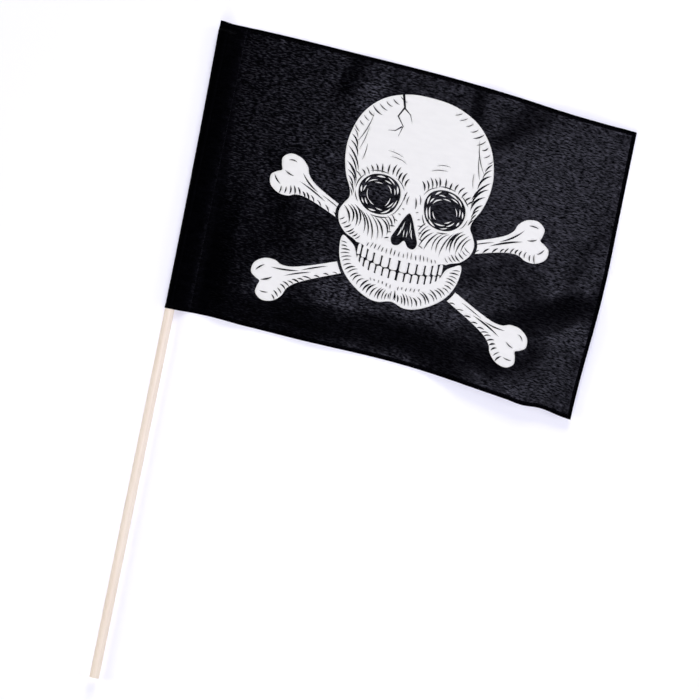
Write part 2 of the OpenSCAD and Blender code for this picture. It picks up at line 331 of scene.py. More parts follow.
def tunnel_slope():
    """Where the upper layer leaves the stick, the bend of its curve, and the seam it comes down to."""
    leave = np.array([TUNNEL_R * math.cos(LEAVE), AXIS_Z + TUNNEL_R * math.sin(LEAVE)])
    seam = np.array([SEAM, OVER_Z])
    rise = leave[1] - OVER_Z - (SEAM - leave[0]) * math.tan(SEAM_SLOPE)
    reach = rise / (math.cos(LEAVE) - math.sin(LEAVE) * math.tan(SEAM_SLOPE))
    return leave, leave + reach * np.array([math.sin(LEAVE), -math.cos(LEAVE)]), seam


def on_slope_curve(t):
    """A point of the curve from the stick to the seam, a parabola that flattens towards the seam."""
    leave, bend, seam = (corner[:, None] for corner in tunnel_slope())
    return mix(mix(leave, bend, t), mix(bend, seam, t), t)


UNDER_LENGTH = SEAM + ALLOWANCE
ARC_LENGTH = TUNNEL_R * (1.5 * math.pi - LEAVE)
SLOPE_LENGTH = np.linalg.norm(np.diff(on_slope_curve(np.linspace(0, 1, 40))), axis=0).sum()
ARC_END = UNDER_LENGTH + ARC_LENGTH
SEAM_AT = ARC_END + SLOPE_LENGTH
CLOTH_WIDTH = SEAM_AT + FLY - SEAM
# The sewn end: it stands out past the tunnel, and its two layers part over the width of their fold
FOLD_AT = UNDER_LENGTH + ARC_LENGTH / 2
FLARE = 3.5
FOLD_WIDTH = 1.2
END_GAP = 0.1
END_CLEAR = 0.5
# The tunnel's wrinkles: their middle and reach as shares of the slope, and how their waves wander and lean
WRINKLE_HEIGHT, WRINKLE_PITCH = 0.28, 17.0
WRINKLE_AT, WRINKLE_REACH = 0.55, 0.75
WRINKLE_WANDER, WRINKLE_BEND, WRINKLE_LEAN = 2.2, 41.0, 0.12
SHEET_REACH = 8  # the sheet comes to its own height over this length past the allowance
HEM_STEP = 0.5
print(f"cloth {CLOTH_WIDTH + 2 * HEM:.0f} by {HOIST + 4 * HEM:.0f} mm before sewing")


def round_section(p, slack):
    """The open tunnel: x and z of the cloth's inner face at p along the cloth."""
    angle = -np.pi / 2 - (p - UNDER_LENGTH) / TUNNEL_R
    reach = TUNNEL_R + np.where(np.cos(angle) < 0, slack, 0)
    slope_x, slope_z = on_slope_curve(np.ravel((p - ARC_END) / SLOPE_LENGTH)).reshape(2, *np.shape(p))
    x = np.where(p < UNDER_LENGTH, UNDER_LENGTH - p, np.cos(angle) * reach)
    z = np.where(p < UNDER_LENGTH, UNDER_Z, AXIS_Z + np.sin(angle) * TUNNEL_R)
    x = np.where(p > ARC_END, slope_x, x)
    z = np.where(p > ARC_END, slope_z, z)
    return x, z


def flat_section(p):
    """The sewn end: two layers that lie on each other, with a tight fold between them."""
    left = -TUNNEL_R - FLARE
    fold = ease((p - FOLD_AT) / FOLD_WIDTH + 0.5)
    out = UNDER_LENGTH + (left - UNDER_LENGTH) * p / FOLD_AT
    back = left + (SEAM - left) * (p - FOLD_AT) / (SEAM_AT - FOLD_AT)
    return np.where(p < FOLD_AT, out, back), mix(UNDER_Z, OVER_Z + END_GAP, fold)


def slack_wrinkle(p, y):
    """Shallow creases across the tunnel where the seam gathers it, always away from the stick."""
    on_slope = hump((p - mix(ARC_END, SEAM_AT, WRINKLE_AT)) / (WRINKLE_REACH * SLOPE_LENGTH))
    wander = WRINKLE_WANDER * np.sin(y / WRINKLE_BEND)
    wave = np.sin(2 * np.pi * y / WRINKLE_PITCH + wander + WRINKLE_LEAN * p)
    return WRINKLE_HEIGHT * on_slope * (1 + wave)


def inner_face(p, y):
    """The cloth's inner face, from the edge hidden under the seam to the free end."""
    slack = FLARE * np.clip(y / HOIST, 0, 1) ** 2
    x, z = round_section(p, slack)
    flat_x, flat_z = flat_section(p)
    closing = ease((y - STICK_END - END_CLEAR) / (HOIST - HEM - STICK_END - 2 * END_CLEAR))
    x = mix(x, flat_x, closing)
    z = mix(z, flat_z, closing) + slack_wrinkle(p, y) * (1 - closing)
    sheet_x = SEAM + p - SEAM_AT
    rise = sheet_height(sheet_x, y) + (HEM_LAYERS - 1) * LAYER + REST
    sheet_z = mix(OVER_Z, rise, ease((sheet_x - SEAM - ALLOWANCE) / SHEET_REACH))
    x = np.where(p > SEAM_AT, sheet_x, x)
    z = np.where(p > SEAM_AT, sheet_z, z)
    return np.stack([x - tuck(x, y), y - sag(x, y), z], axis=-1)


def hem_share(p, y):
    """One inside the folded hem and zero on the single cloth, with a narrow step between them."""
    edge = np.minimum(np.minimum(y, HOIST - y), CLOTH_WIDTH - p)
    return ease((HEM + HEM_STEP / 2 - edge) / HEM_STEP)


# %% [markdown]
# ## The print: drawing a skull and crossed bones
# A screen print is a set of flat fields with crisp edges, so the skull is drawn as outlines. Half of
# each outline is a short list of given points, which is mirrored and rounded by a Catmull-Rom
# curve. The fields are painted in order, white or black, and the last one painted wins. Tapered
# strokes, like those of a woodcut, model the bone's form with black lines.

# %% Drawing tools
def rounded(points, steps=5):
    """A smooth closed curve through the points."""
    out = []
    count = len(points)
    for i in range(count):
        a, b, c, d = (np.array(points[(i + k) % count], float) for k in (-1, 0, 1, 2))
        for t in np.arange(steps) / steps:
            square, cube = 2 * a - 5 * b + 4 * c - d, 3 * b - a - 3 * c + d
            out.append(tuple((2 * b + (c - a) * t + square * t ** 2 + cube * t ** 3) / 2))
    return out


def mirrored(points):
    return [(-x, y) for x, y in reversed(points)]


def both_halves(half):
    return half + [(x, y) for x, y in mirrored(half) if x != 0]


def turned(points, degrees, rise):
    c, s = math.cos(math.radians(degrees)), math.sin(math.radians(degrees))
    return [(x * c - y * s, x * s + y * c + rise) for x, y in points]


def left_of(runs):
    """Unit vectors to the left of each run."""
    return unit(np.stack([-runs[:, 1], runs[:, 0]], axis=1))


def grown(loop, margin):
    """The loop moved outwards, for the black gap round the skull."""
    pts = np.array(loop)
    along = np.roll(pts, -1, axis=0) - np.roll(pts, 1, axis=0)
    return [tuple(p) for p in pts + margin * left_of(along)]


def outlined(points, widths):
    """A line of changing width along the points, as a closed outline."""
    pts = np.array(points, float)
    half = left_of(np.gradient(pts, axis=0)) * np.reshape(widths, (-1, 1)) / 2
    return [tuple(p) for p in np.vstack([pts + half, (pts - half)[::-1]])]


def swelling(points, width):
    """A line that swells in the middle and runs out to a point at both ends."""
    line = outlined(points, width * np.sin(np.linspace(0, np.pi, len(points))))
    return line[:len(points)] + line[len(points) + 1:-1]


def stroke(start, end, bow, width, steps=8):
    """A swelling line from start to end, bowed to its left."""
    run = np.subtract(end, start)
    across = np.array([-run[1], run[0]]) / math.hypot(*run)
    t = np.linspace(0, 1, steps + 1)[:, None]
    return swelling(np.array(start) + run * t + across * 4 * bow * t * (1 - t), width)


# %% The skull's outlines
SKULL_HALF = [
    (0, 112), (26, 109.5), (50, 99), (67, 80), (75, 56), (75.5, 36), (71, 17), (64.5, 4), (63, -5),
    (67, -12), (70.5, -21), (68, -32), (60, -41), (50, -45.5), (43, -51), (39.5, -57), (26, -59),
    (0, -60.5),
]
JAW_HALF = [
    (0, -76.5), (25, -74), (36, -70), (43, -63), (47.5, -53), (55, -47), (61.5, -44), (63, -52),
    (60.5, -66), (54, -79), (43, -90), (28, -99), (14, -102), (0, -98.5),
]
MOUTH_HALF = [(0, -56), (28, -54), (43, -48), (50, -50), (47, -62), (38, -73), (26, -78), (0, -80)]
EYE = [(12.5, 6), (17, 19), (30, 25), (45, 22.5), (54.5, 12), (54, -2), (45, -12.5), (31, -15.5), (18, -10)]
NOSE_HALF = [(0, -7), (4.5, -13), (9.5, -25), (13.5, -35), (11, -41.5), (5, -41), (0, -35.5)]
BONE_QUARTER = [
    (60, 6.2), (104, 7.5), (120, 11.5), (127, 18), (137, 21.5), (148, 19), (153, 11), (150, 4.5), (146.5, 0),
]
BONE_SLANT = 23.0
BONES_RISE = -52.0
OUTLINE_GAP = 3.2
# Each row of teeth: the heights of its roots and its biting edge, and its teeth's widths to one side
UPPER_ROW = (-54.5, -66.8, (9.4, 8.2, 8.0, 7.0, 6.0, 4.8))
LOWER_ROW = (-79.5, -68.0, (7.2, 7.0, 7.2, 6.6, 5.8, 4.6, 3.6))
TOOTH_GAP = 1.4
TOOTH_SPACE = 0.2
FIRST_TOOTH = 0.5
BITE_BEND, ROOT_BEND = 0.0042, 0.7
# A tooth's width at its root and its edge as shares of its widest, and where it is widest
ROOT_SHARE, EDGE_SHARE, WIDEST_AT = 0.8, 0.72, 0.75

# %% The strokes that shade it, on the right half: start (x, y), end (x, y), bow, width
def hatch(count, *keys):
    """A row of strokes that changes evenly from one key stroke to the next."""
    at = np.linspace(0, len(keys) - 1, count)
    columns = [np.interp(at, np.arange(len(keys)), column) for column in zip(*keys)]
    return np.stack(columns, axis=1).tolist()


TEMPLE = hatch(
    10, (72.5, 64, 67, 55, -1.2, 1.2), (74.5, 46, 61, 26, -3.2, 2.3),
    (71, 22, 60.5, 7, -2.4, 2.0), (64.5, 5, 60.5, -3, -0.6, 1.2),
)
CROWN = hatch(
    9, (33, 106, 25, 101.5, 0.6, 0.8), (58, 91, 48, 84.5, 1.2, 1.3), (72, 68, 66, 62.5, 0.8, 1.0),
)
BROW = hatch(
    12, (10, 18, 6, 29, -1.2, 1.7), (23, 26.5, 20, 37, -1.2, 1.6),
    (42, 26, 46, 35, 1.0, 1.4), (55, 16.5, 61.5, 22, 1.0, 1.2),
)
CHEEK = hatch(
    13, (18, -12, 13, -21, -1.2, 1.2), (28.5, -18.5, 17, -37, -3.2, 1.6),
    (44, -16.5, 33, -42, -3.6, 1.5), (57, -10, 48, -33, -3.6, 1.7), (66.5, -14, 59, -31, -3.0, 1.6),
)
CHEEKBONE = hatch(
    7, (69, -29, 62, -25, 0.8, 1.2), (60, -40.5, 53, -35, 1.0, 1.3), (49, -45, 44, -40, 0.8, 1.0),
)
NOSE_SIDES = hatch(
    6, (6, -5, 9.5, -3.5, 0.3, 0.8), (11.5, -21, 16, -20.5, 0.5, 1.2),
    (15, -36, 19.5, -38, 0.4, 1.0),
)
BRIDGE = [(3.2, 10, 4.8, -2, 0.8, 1.3), (6, 14.5, 8.4, 2, 0.9, 1.2)]
FOREHEAD = [
    (67, 50, 55, 84, 2.0, 0.9), (63, 44, 57.5, 70, 1.4, 0.8), (58, 34, 56, 52, 0.8, 0.7),
    (12, 40, 30, 44, 1.6, 0.8), (17, 46, 33, 49, 1.2, 0.6),
]
GUMS = hatch(
    9, (2.5, -53.5, 2.5, -46.5, 0, 1.0), (20, -52, 19, -45.5, 0, 1.0), (36, -49.5, 34, -45, 0, 0.8),
)
LOWER_GUMS = hatch(6, (4, -81.5, 3.8, -85.5, 0, 0.9), (26, -79, 25, -82.5, 0, 0.8))
JAW_RIM = hatch(
    21, (3, -97, 2.4, -89, -0.6, 1.2), (15, -100, 10.5, -88.5, -1.6, 1.6),
    (29, -96.5, 21, -85.5, -2, 1.6), (43, -88, 33.5, -79.5, -1.8, 1.5),
    (54, -77, 45, -72.5, -1.2, 1.4), (60.5, -64, 50, -61.5, -1, 1.3),
    (62.5, -50, 54, -51.5, -0.6, 1.1),
)
CHIN = [(1.6, -97, 1.4, -86, -0.6, 1.3)]
SHADING = TEMPLE + CROWN + FOREHEAD + BROW + CHEEK + CHEEKBONE + NOSE_SIDES + BRIDGE + GUMS + LOWER_GUMS
SHADING += JAW_RIM + CHIN
IN_NOSE = [
    (5.5, -22, 8.5, -33, -0.8, 1.3), (3, -16, 4, -27, 0.5, 0.9), (1.4, -24, 1.2, -33, 0, 0.8),
]
BONE_SHADING = hatch(
    12, (66, -6.4, 72, -3, 0.6, 1.0), (100, -7.6, 108, -3.2, 0.8, 1.5),
    (119, -11.4, 125, -5, 1.0, 1.6), (136, -21.6, 138, -13.5, 0.8, 1.3),
) + [
    (74, 2.6, 104, 3.4, 0.5, 1.2), (92, -0.6, 126, 0.6, 0.9, 1.6), (104, 3, 130, 11, -1.4, 1.5),
    (133, 2, 146, 1, -1, 1.5), (138, 15.5, 147.5, 12, 1, 1.2), (140, -12.5, 149, -9, -1, 1.2),
]
SOCKET_MIDDLE = (34.0, 4.0)
# White rings of broken lines in a socket, and a black one round it: share of its size, lines, width
SOCKET_RINGS = ((0.88, 9, 1.5), (0.74, 7, 1.2), (0.58, 5, 1.0))
ORBIT_RING = (1.14, 6, 1.1)
HAND = np.random.default_rng(11)
# How a hand varies a stroke: its ends, and the shares of its length, bow and width
END_SHIFT = (-0.5, 0.5)
LENGTHS, BOWS, WIDTHS = (0.8, 1.2), (0.7, 1.4), (0.75, 1.3)
# And a ring's broken line: start and length as shares of its stretch, drift of its size, width, points
LINE_STARTS, LINE_LENGTHS, LINE_DRIFT, LINE_WIDTHS = (0, 0.3), (0.45, 0.95), (-0.05, 0.05), (0.7, 1.3)
LINE_POINTS = 7


def by_hand(mark):
    """The same stroke with its ends and its width a little off, as a hand draws them."""
    start, end = (np.array(point) + HAND.uniform(*END_SHIFT, 2) for point in (mark[:2], mark[2:4]))
    bow, width = mark[4:]
    end = mix(start, end, HAND.uniform(*LENGTHS))
    return stroke(start, end, bow * HAND.uniform(*BOWS), width * HAND.uniform(*WIDTHS), 6)


def socket_ring(outline, scale, count, width):
    """Lines that follow an eye socket's edge at one share of its size, and break off unevenly."""
    middle = np.array(SOCKET_MIDDLE)
    spokes = np.array(outline + outline[:1]) - middle
    turn = np.linspace(0, 1, len(spokes))
    for i in range(count):
        start = (i + HAND.uniform(*LINE_STARTS)) / count
        t = (start + np.linspace(0, HAND.uniform(*LINE_LENGTHS) / count, LINE_POINTS)) % 1
        spoke = np.stack([np.interp(t, turn, spokes[:, axis]) for axis in (0, 1)], axis=1)
        drift = scale + HAND.uniform(*LINE_DRIFT) * np.linspace(-1, 1, LINE_POINTS)[:, None]
        yield swelling(middle + spoke * drift, width * HAND.uniform(*LINE_WIDTHS))


# Each crack in the crown: its points, its width at the start and at the end
CRACKS = [
    ([(-30, 110), (-26, 96), (-31, 86), (-24, 77), (-27, 66)], 2.6, 0.4),
    ([(-25.5, 95), (-19, 90), (-16, 83)], 1.6, 0.3),
    ([(-25, 76.5), (-31, 71), (-38, 70)], 1.5, 0.3),
]


# %% Paint the fields in order
def tooth(x, root, edge, width):
    """A tooth that is widest near its biting edge."""
    h = width / 2
    side = mix(root, edge, WIDEST_AT)
    left = [(x - h * ROOT_SHARE, root), (x - h, side), (x - h * EDGE_SHARE, edge)]
    right = [(x + h * EDGE_SHARE, edge), (x + h, side), (x + h * ROOT_SHARE, root)]
    return rounded(left + right, 3)


def bite(x):
    """The line between the rows of teeth, which rises to the sides."""
    return BITE_BEND * x * x


def tooth_row(root, edge, widths):
    x = FIRST_TOOTH
    for width in widths:
        middle = x + width / 2
        yield tooth(middle, root + bite(middle) * ROOT_BEND, edge + bite(middle), width - TOOTH_GAP)
        x += width + TOOTH_SPACE


def print_fields():
    """Every field of the print as (outline, is it white), from the first painted to the last."""
    fields = []

    def paint(outline, white, pair=False):
        fields.append((outline, white))
        if pair:
            fields.append((mirrored(outline), white))

    end = BONE_QUARTER + [(x, -y) for x, y in reversed(BONE_QUARTER[:-1])]
    bone = rounded(end + [(-x, -y) for x, y in end], 4)
    for slant in (BONE_SLANT, -BONE_SLANT):
        paint(turned(bone, slant, BONES_RISE), True)
    for slant in (BONE_SLANT, 180 - BONE_SLANT, 180 + BONE_SLANT, -BONE_SLANT):
        lower = 1 if abs(slant) < 90 else -1
        for mark in BONE_SHADING:
            line = [(x, y * lower) for x, y in by_hand(mark)][::lower]
            paint(turned(line, slant, BONES_RISE), False)
    skull = rounded(both_halves(SKULL_HALF))
    jaw = rounded(both_halves(JAW_HALF))
    paint(grown(skull, OUTLINE_GAP), False)
    paint(grown(jaw, OUTLINE_GAP), False)
    paint(skull, True)
    paint(rounded(both_halves(MOUTH_HALF), 4), False)
    paint(jaw, True)
    for outline in (*tooth_row(*UPPER_ROW), *tooth_row(*LOWER_ROW)):
        paint(outline, True, pair=True)
    socket = rounded(EYE)
    paint(socket, False, pair=True)
    paint(rounded(both_halves(NOSE_HALF)), False)
    for mark in SHADING:
        paint(by_hand(mark), False)
        paint(mirrored(by_hand(mark)), False)
    for side in (list, mirrored):
        for ring in SOCKET_RINGS:
            for line in socket_ring(socket, *ring):
                paint(side(line), True)
        for line in socket_ring(socket, *ORBIT_RING):
            paint(side(line), False)
        for mark in IN_NOSE:
            paint(side(by_hand(mark)), True)
    for points, start_width, end_width in CRACKS:
        paint(outlined(points, np.linspace(start_width, end_width, len(points))), False)
    return fields


FIELDS = print_fields()
SKULL_WIDTH = 154.0
DRAWN_WIDTH = 151.0
PRINT_SCALE = SKULL_WIDTH / DRAWN_WIDTH
PRINT_ASIDE, PRINT_RAISED = -5.0, 10
PRINT_CENTRE = ((SEAM + FLY) / 2 + PRINT_ASIDE, HOIST / 2 + PRINT_RAISED * PRINT_SCALE)
print(f"{len(FIELDS)} fields with {sum(len(f[0]) for f in FIELDS)} points")

# %% [markdown]
# ## Meshing the cloth with its print
# A constrained Delaunay triangulation of the flat cloth takes a grid of points and the print's outlines,
# and reports which outlines each triangle lies in. Grid points that fall close to an outline are left
# out, because they would only make slivers. The ink is made from the white triangles of this same mesh,
# so it follows the cloth exactly and can't float or flicker.

# %% Triangulate the flat cloth
GRID = 2.8
NEAR_OUTLINE = 0.8
MARGIN = 2  # round the print, past which no grid point is near an outline
SAME_POINT = 1e-4


def spread(stops):
    """Grid lines through the stops, which give a place and the step that leads up to it."""
    lines = [stops[0][0]]
    for (low, _), (high, step) in zip(stops, stops[1:]):
        count = max(1, round((high - low) / step))
        lines += [low + (high - low) * k / count for k in range(1, count + 1)]
    return np.array(lines)


def flat_cloth():
    """Points, triangles, and whether each triangle is white, on the cloth before it is folded."""
    across = spread([
        (0, 0), (UNDER_LENGTH, 4), (ARC_END, 0.8), (SEAM_AT, 2), (SEAM_AT + 12, 1.5),
        (CLOTH_WIDTH - HEM - 0.4, GRID), (CLOTH_WIDTH - HEM + 0.4, 0.4), (CLOTH_WIDTH, 1.2),
    ])
    up = spread([
        (0, 0), (HEM - 0.4, 1.2), (HEM + 0.4, 0.4), (STICK_END - 4, GRID), (HOIST - HEM - 0.4, 1.0),
        (HOIST - HEM + 0.4, 0.4), (HOIST, 1.2),
    ])
    outlines = []
    for loop, _ in FIELDS:
        place = np.array(loop) * PRINT_SCALE + PRINT_CENTRE
        place[:, 0] += SEAM_AT - SEAM
        x, y = place.T
        turns_left = np.dot(x, np.roll(y, -1)) > np.dot(y, np.roll(x, -1))
        outlines.append(place if turns_left else place[::-1])
    drawn = np.vstack(outlines)
    tree = KDTree(len(drawn))
    for i, (x, y) in enumerate(drawn):
        tree.insert((x, y, 0), i)
    tree.balance()
    low, high = drawn.min(axis=0) - MARGIN, drawn.max(axis=0) + MARGIN
    points = []
    for y in up:
        for x in across:
            inside = low[0] < x < high[0] and low[1] < y < high[1]
            if not inside or tree.find((x, y, 0))[2] > NEAR_OUTLINE:
                points.append((float(x), float(y)))
    faces = []
    for loop in outlines:
        faces.append(list(range(len(points), len(points) + len(loop))))
        points += [(float(x), float(y)) for x, y in loop]
    verts, _, triangles, _, _, origins = delaunay_2d_cdt(points, [], faces, 0, SAME_POINT, True)
    white = [bool(found) and FIELDS[max(found)][1] for found in origins]
    return np.array(verts), np.array(triangles), np.array(white)


cloth_points, cloth_triangles, cloth_white = flat_cloth()
print(f"{len(cloth_triangles)} triangles, {int(cloth_white.sum())} of them white")

# %% [markdown]
# ## From the flat cloth to the sewn flag
# Every point of the flat cloth is carried to its place on the table, once for the outer face and once
# for the inner face. The direction between the two is the surface's normal, found by small steps along
# and across the cloth. A rounded rim joins the two faces, so that the cloth is one closed body with a
# real thickness, three layers at the hems and one elsewhere.

# %% Fold the cloth
OUTER_HEM_SHARE = 0.6
OFF_TABLE = 3  # height at which the tunnel's hem has this share


def surface_frame(p, y, step=0.05):
    """Inner face, unit directions along the cloth and up the hoist, and the unit normal outwards."""
    along = unit(inner_face(p + step, y) - inner_face(p - step, y))
    up = unit(inner_face(p, y + step) - inner_face(p, y - step))
    return inner_face(p, y), along, up, unit(np.cross(along, up))


def both_faces(p, y):
    """Outer face, inner face, and the directions. The hem's layers lie under the sheet, and outside on
    the tunnel where it is off the table."""
    base, along, up, normal = surface_frame(p, y)
    extra = (HEM_LAYERS - 1) * LAYER * hem_share(p, y)
    on_sheet = ease((p - SEAM_AT - ALLOWANCE) / SHEET_REACH)
    off_table = np.clip((base[..., 2] - UNDER_Z) / OFF_TABLE, 0, 1)
    outer = base + normal * (LAYER + (1 - on_sheet) * off_table * OUTER_HEM_SHARE * extra)[..., None]
    inner = base - normal * (on_sheet * extra)[..., None]
    return outer, inner, along, up, normal


def boundary_edges(triangles):
    """Edges of only one triangle, in the triangle's own direction."""
    edges = np.vstack([triangles[:, (0, 1)], triangles[:, (1, 2)], triangles[:, (2, 0)]])
    keys = np.sort(edges, axis=1)
    _, first, count = np.unique(keys, axis=0, return_index=True, return_counts=True)
    return edges[first[count == 1]]


def outward_in_plan(points, edges):
    """For each point on the edges, the unit direction out of the flat cloth."""
    out = np.zeros((len(points), 2))
    side = -left_of(points[edges[:, 1]] - points[edges[:, 0]])
    np.add.at(out, edges[:, 0], side)
    np.add.at(out, edges[:, 1], side)
    length = np.linalg.norm(out, axis=1, keepdims=True)
    return out / np.where(length > 0, length, 1)


def two_sides(triangles, count):
    """The triangles of the upper face, and the same ones turned over for the lower face."""
    return triangles.tolist() + (triangles[:, ::-1] + count).tolist()


RIM_ROWS = (-0.5, 0.0, 0.5)


def cloth_mesh(points, triangles, white):
    """The closed cloth as points, faces, flat coordinates and each point's share of ink."""
    outer, inner, along, up, normal = both_faces(points[:, 0], points[:, 1])
    edges = boundary_edges(triangles)
    out = outward_in_plan(points, edges)
    ring = np.unique(edges)
    half = np.linalg.norm(outer[ring] - inner[ring], axis=1, keepdims=True) / 2
    middle = (outer[ring] + inner[ring]) / 2
    side = along[ring] * out[ring][:, :1] + up[ring] * out[ring][:, 1:]
    count = len(points)
    place = np.full(count, -1)
    place[ring] = np.arange(len(ring))
    verts = [outer, inner]
    flat = [points, points]
    faces = two_sides(triangles, count)
    rows = [ring]
    for k, row in enumerate(RIM_ROWS):
        angle = row * math.pi / 2
        verts.append(middle + half * (side * math.cos(angle) - normal[ring] * math.sin(angle)))
        flat.append(points[ring] + out[ring] * (half * (row + 1) * math.pi / 2))
        rows.append(2 * count + k * len(ring) + np.arange(len(ring)))
    rows.append(ring + count)
    a, b = place[edges[:, 0]], place[edges[:, 1]]
    for near, far in zip(rows, rows[1:]):
        faces += np.stack([near[b], near[a], far[a], far[b]], axis=1).tolist()
    ink = np.zeros(2 * count + len(RIM_ROWS) * len(ring))
    ink[count + np.unique(triangles[white])] = 1.0
    return np.vstack(verts), faces, np.vstack(flat), ink


def doubled_face(centre):
    """Is the cloth drawn tight round the stick here, or folded to a hem? Such faces take the cloth's copy with
    painted shade.
    """
    p, y = centre[:, 0], centre[:, 1]
    return (p < ARC_END) | (y < HEM) | (y > HOIST - HEM) | (p > CLOTH_WIDTH - HEM)


def make_piece(name, verts, faces, materials, flat=None, material_index=None):
    """A smooth mesh object in the frame, with the flat cloth's coordinates as its UV map."""
    mesh = bpy.data.meshes.new(name)
    mesh.from_pydata(to_world(verts).tolist(), [], faces)
    mesh.shade_smooth()
    for material in materials:
        mesh.materials.append(material)
    corners = np.zeros(len(mesh.loops), dtype=np.int32)
    mesh.loops.foreach_get("vertex_index", corners)
    if flat is not None:
        layer = mesh.uv_layers.new(name="cloth")
        layer.data.foreach_set("uv", (flat[corners] * MM).astype(np.float32).ravel())
    if material_index is not None:
        mesh.polygons.foreach_set("material_index", material_index.astype(np.int32))
    return put(name, mesh)


# %% [markdown]
# ## Woven polyester as a shader
# The cloth is a plain weave of fine yarns, about three to the millimetre, with slubs: smooth stretches
# of yarn, a few millimetres long, that catch the light as faint dashes. Both patterns follow the
# cloth's own flat coordinates, so they bend with it. They are one node group, which each cloth material
# uses with its own values. The sheen is the shader's coat: single slubs glint beside the tunnel, where
# the seam holds the cloth, and further out it shines more evenly.

# %% Node helpers
class Graph:
    """A node tree with short calls to add and join nodes."""

    def __init__(self, tree):
        self.nodes, self.links = tree.nodes, tree.links

    def add(self, kind, inputs=None, **settings):
        node = self.nodes.new(kind)
        for name, value in settings.items():
            setattr(node, name, value)
        self.join(node, inputs or {})
        return node

    def out(self, kind, inputs=None, **settings):
        """The first output of a new node."""
        return self.add(kind, inputs, **settings).outputs[0]

    def join(self, node, inputs):
        for key, value in inputs.items():
            self.feed(node.inputs[key], value)

    def feed(self, socket, value):
        if isinstance(value, bpy.types.NodeSocket):
            self.links.new(value, socket)
        else:
            socket.default_value = value

    def math(self, operation, *values):
        return self.out("ShaderNodeMath", dict(enumerate(values)), operation=operation)

    def vector(self, operation, a, b):
        return self.out("ShaderNodeVectorMath", {0: a, 1: b}, operation=operation)

    def remap(self, value, from_low, from_high, to_low, to_high):
        inputs = {0: value, 1: from_low, 2: from_high, 3: to_low, 4: to_high}
        return self.out("ShaderNodeMapRange", inputs, interpolation_type="SMOOTHSTEP")

    def noise(self, vector, scale, detail=2.0, rough=0.5, output="Fac"):
        inputs = {"Vector": vector, "Scale": scale, "Detail": detail, "Roughness": rough}
        return self.add("ShaderNodeTexNoise", inputs).outputs[output]

    def stretched(self, vector, x, y, z):
        return self.out("ShaderNodeMapping", {"Vector": vector, "Scale": (x, y, z)})

    def blend(self, factor, a, b):
        """Colour a, and colour b by the factor. These sockets share their names with other kinds."""
        return self.add("ShaderNodeMix", {0: factor, 6: a, 7: b}, data_type="RGBA").outputs[2]


def new_group(name, tree_type, inputs, outputs, output_kind="Float"):
    """An empty node group, its graph and its two ends. An input is given by the number it starts with,
    or by the kind of its socket."""
    tree = bpy.data.node_groups.new(name, tree_type)
    for label, value in inputs.items():
        kind = value if isinstance(value, str) else type(value).__name__.title()
        socket = tree.interface.new_socket(label, in_out="INPUT", socket_type="NodeSocket" + kind)
        if kind != value:
            socket.default_value = value
    for label in outputs:
        tree.interface.new_socket(label, in_out="OUTPUT", socket_type="NodeSocket" + output_kind)
    graph = Graph(tree)
    return tree, graph, graph.add("NodeGroupInput").outputs, graph.add("NodeGroupOutput").inputs


# %% The weave group
YARN_HEIGHT = 0.03
SLUB_SALTS = (0.0, 31.7)  # two layers of slubs, taken from different places of the noise
CLOUD_SCALE = (60, 160, 1)


def weave_group():
    inputs = {
        "Vector": "Vector", "Yarn Pitch": 0.00032, "Slub Length": 0.0042, "Slub Width": 0.0013,
        "Slub Amount": 0.5,
    }
    tree, g, ins, outs = new_group("plain_weave", "ShaderNodeTree", inputs, ("Height", "Slub", "Cloud"))
    place = g.add("ShaderNodeSeparateXYZ", {0: ins["Vector"]}).outputs
    turns = [g.math("DIVIDE", place[axis], ins["Yarn Pitch"]) for axis in (0, 1)]
    warp, weft = (g.math("SINE", g.math("MULTIPLY", turn, math.pi)) for turn in turns)
    over = g.math("MULTIPLY", warp, weft)
    rows = []
    for salt in SLUB_SALTS:
        u = g.math("DIVIDE", place[0], ins["Slub Length"])
        v = g.math("ADD", g.math("DIVIDE", place[1], ins["Slub Width"]), salt)
        spot = g.out("ShaderNodeCombineXYZ", {0: u, 1: v, 2: salt})
        rows.append(g.noise(spot, 1.0, 2.0))
    slub = g.math("ADD", *rows)
    relief = (g.math("MULTIPLY", over, YARN_HEIGHT), g.math("MULTIPLY", slub, ins["Slub Amount"]))
    g.feed(outs["Height"], g.math("ADD", *relief))
    g.feed(outs["Slub"], slub)
    g.feed(outs["Cloud"], g.noise(g.stretched(ins["Vector"], *CLOUD_SCALE), 1.0, 3.0))
    return tree


WEAVE = weave_group()

# %% The cloth materials
SPECULAR_TINT = (0.82, 0.8, 1.0, 1.0)
SLUB_RANGE = (0.95, 1.15)
MOTTLE = (0.3, 0.7, 0.0, 0.35)
GHOST_TONE = (0.6, 0.6, 0.65, 1.0)
RELIEF = 0.0006
# The sheen starts at these values of the slubs' noise, at the seam and far out, and is full at the third
SHEEN_NEAR, SHEEN_FAR, SHEEN_FULL = 0.9, 0.74, 1.46
FAR_OUT = 0.8  # as a share of the cloth's width
FAR_SHARE = 0.5
SHEEN_PATCHES = (0.35, 0.65, 0.75, 1.0)
COAT_ROUGHNESS = 0.36
# Where the seam lets go of the sheen: millimetres past it at the foot and at the top, and the reach
FREE_AT_FOOT, FREE_AT_TOP, FREE_OVER = 14, -4, 10
HELD_SHARE = 0.1


